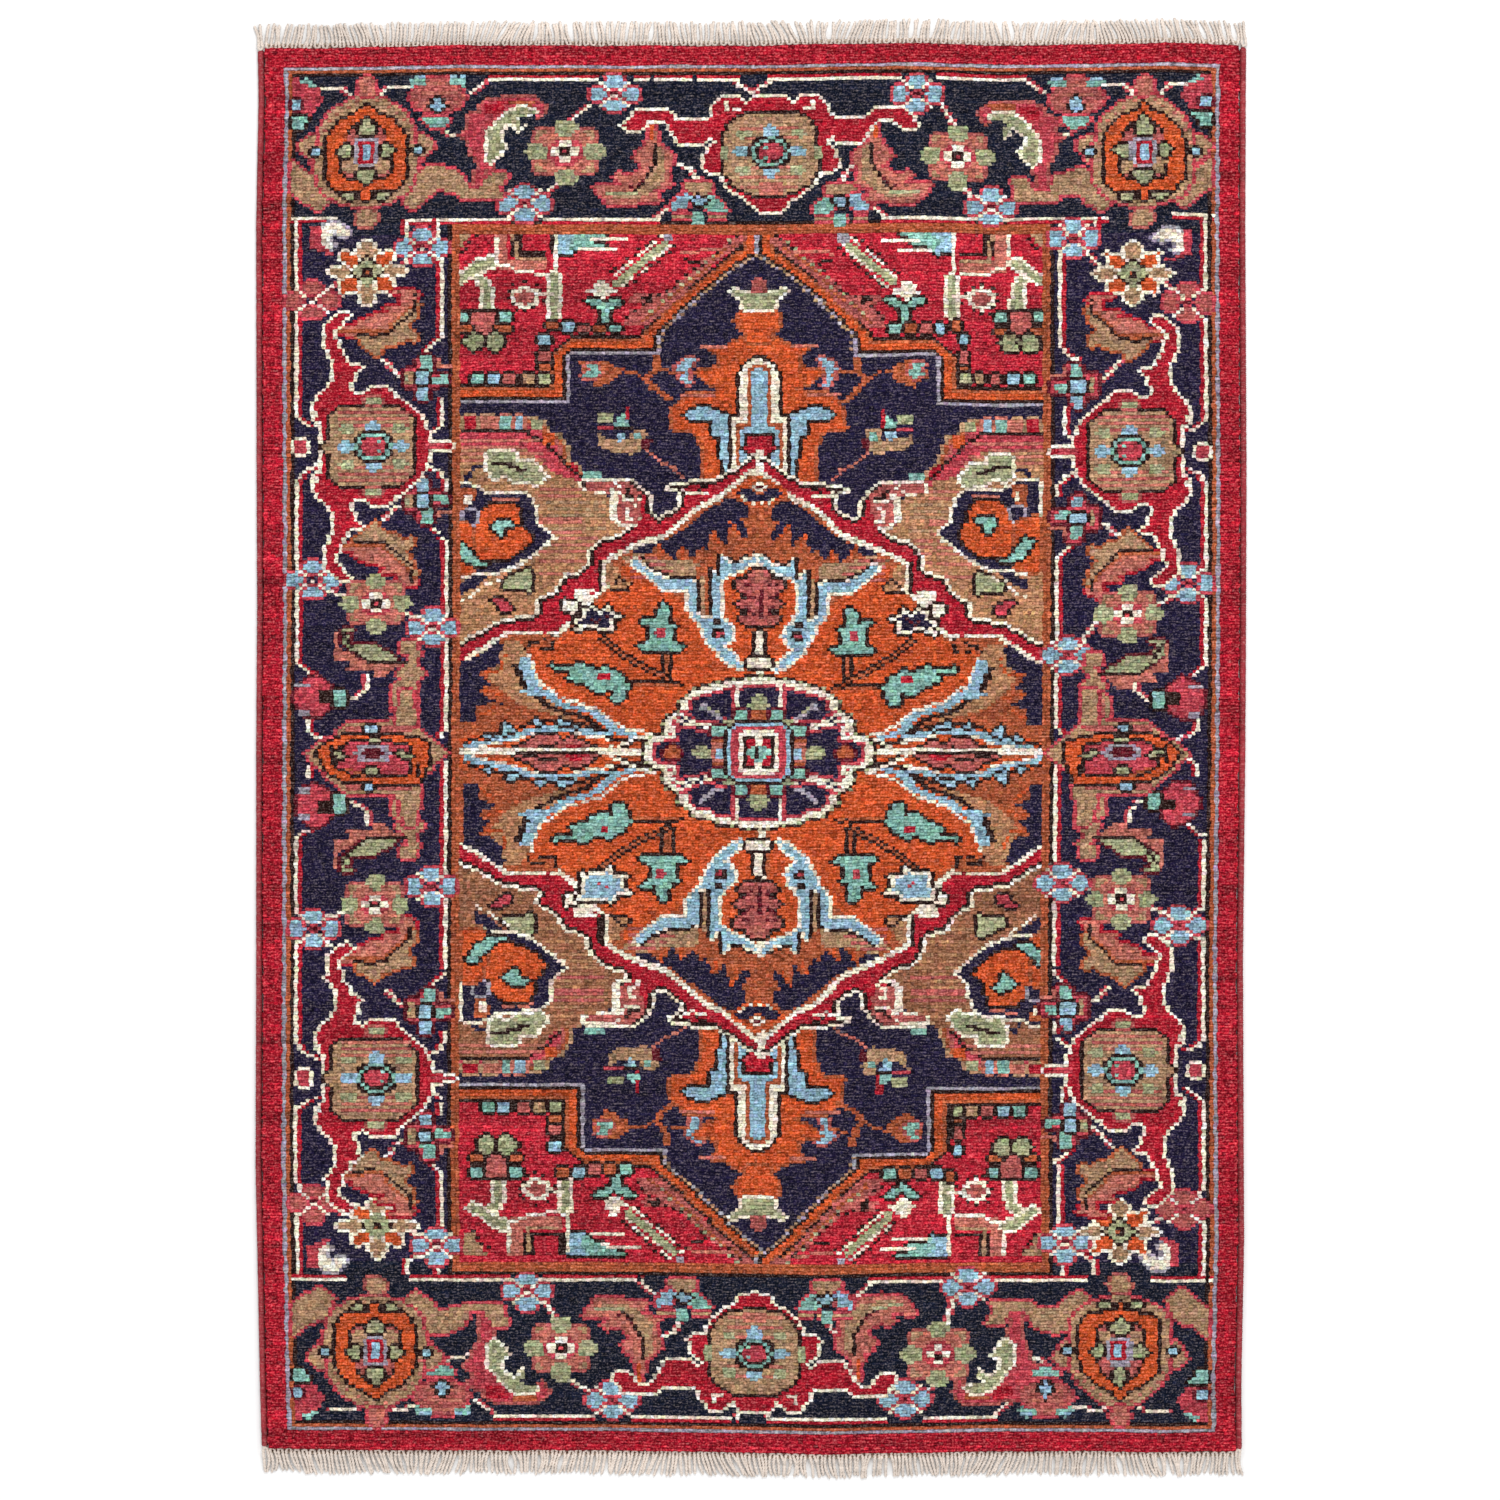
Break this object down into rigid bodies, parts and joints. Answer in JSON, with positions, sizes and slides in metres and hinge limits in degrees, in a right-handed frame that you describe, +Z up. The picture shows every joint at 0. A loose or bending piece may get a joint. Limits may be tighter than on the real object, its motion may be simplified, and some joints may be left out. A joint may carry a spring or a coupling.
{
  "type": "area rug",
  "caption": "Rectangular hand-knotted wool rug with a hexagonal medallion, corner spandrels, layered borders, overcast sides and short looped warp fringes at both ends.",
  "frame": {"origin": "middle of the rug's footprint, on the floor that it lies on", "axes": "+Z up through the pile, +Y along the warps towards the top end, +X across the rug towards its right side"},
  "size_m": [1.2498, 1.8378, 0.012],
  "materials": {
    "cotton_foundation": "undyed cotton warps and wefts, matt",
    "cotton_stitch": "undyed cotton, twined locking row",
    "cotton_fringe": "undyed plied cotton warp ends, soft matt",
    "cotton_core": "bundle of undyed cotton cords",
    "overcast_wool": "dull red wool, wrapped turn by turn",
    "red_wool": "hand-dyed crimson wool pile with row to row shade changes",
    "guard_wool": "blue-grey, rust and near-black wool pile in narrow stripes",
    "border_wool": "hand-dyed navy wool pile with many-coloured flowers",
    "rust_wool": "rust and dark brown wool pile",
    "spandrel_wool": "hand-dyed rose red wool pile",
    "navy_wool": "hand-dyed navy wool pile",
    "camel_wool": "camel-coloured wool pile",
    "medallion_wool": "burnt orange wool pile with light blue and ivory scrolls"
  },
  "bodies": {
    "root": {"camel_ground_bottom_left": "camel_wool", "camel_ground_bottom_right": "camel_wool", "camel_ground_top_left": "camel_wool", "camel_ground_top_right": "camel_wool", "corner_spandrel_bottom_left": "spandrel_wool", "corner_spandrel_bottom_right": "spandrel_wool", "corner_spandrel_top_left": "spandrel_wool", "corner_spandrel_top_right": "spandrel_wool", "fringe_bottom": "cotton_fringe", "fringe_top": "cotton_fringe", "ground_weave": "cotton_foundation", "guard_stripes_bottom": "guard_wool", "guard_stripes_left": "guard_wool", "guard_stripes_right": "guard_wool", "guard_stripes_top": "guard_wool", "inner_guard_bottom": "rust_wool", "inner_guard_left": "rust_wool", "inner_guard_right": "rust_wool", "inner_guard_top": "rust_wool", "kilim_end_bottom": "cotton_foundation", "kilim_end_top": "cotton_foundation", "locking_stitch_bottom": "cotton_stitch", "locking_stitch_top": "cotton_stitch", "main_border_bottom": "border_wool", "main_border_left": "border_wool", "main_border_right": "border_wool", "main_border_top": "border_wool", "medallion": "medallion_wool", "navy_ground_bottom": "navy_wool", "navy_ground_top": "navy_wool", "outer_border_bottom": "red_wool", "outer_border_left": "red_wool", "outer_border_right": "red_wool", "outer_border_top": "red_wool", "selvedge_core_left": "cotton_core", "selvedge_core_right": "cotton_core", "selvedge_overcast_left": "overcast_wool", "selvedge_overcast_right": "overcast_wool"}
  },
  "joints": []
}
